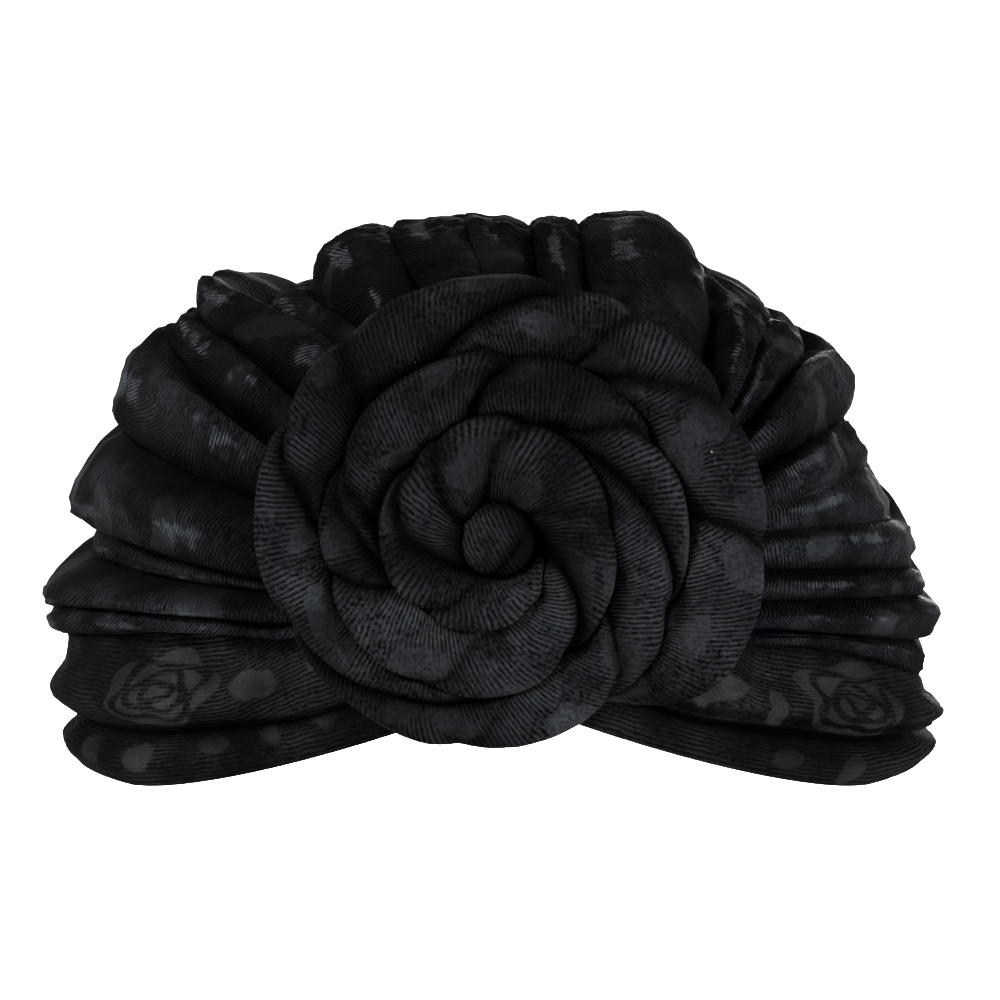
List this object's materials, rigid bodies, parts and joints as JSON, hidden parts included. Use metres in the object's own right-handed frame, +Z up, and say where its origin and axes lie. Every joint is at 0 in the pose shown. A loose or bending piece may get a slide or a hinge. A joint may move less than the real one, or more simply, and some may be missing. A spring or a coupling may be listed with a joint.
{
  "type": "turban headwrap",
  "caption": "Black patterned velvet turban: deep folds gather behind a large coiled rosette on the brow above a wide rolled headband.",
  "frame": {"origin": "middle of the head opening, level with the lowest part of the rim", "axes": "+Z up through the crown, -Y out of the brow through the rosette, +X to the right of the front image"},
  "size_m": [0.2272, 0.2398, 0.1354],
  "materials": {
    "crown_velvet": "ribbed black velvet with a smoother woven pattern",
    "band_velvet": "ribbed black velvet with smoother woven flowers and ovals",
    "coil_velvet": "ribbed black velvet, twisted",
    "bud_velvet": "ribbed black velvet, rounded"
  },
  "bodies": {
    "root": {"crown_wrap": "crown_velvet", "headband": "band_velvet", "rosette_coil": "coil_velvet", "rosette_bud": "bud_velvet"}
  },
  "joints": []
}
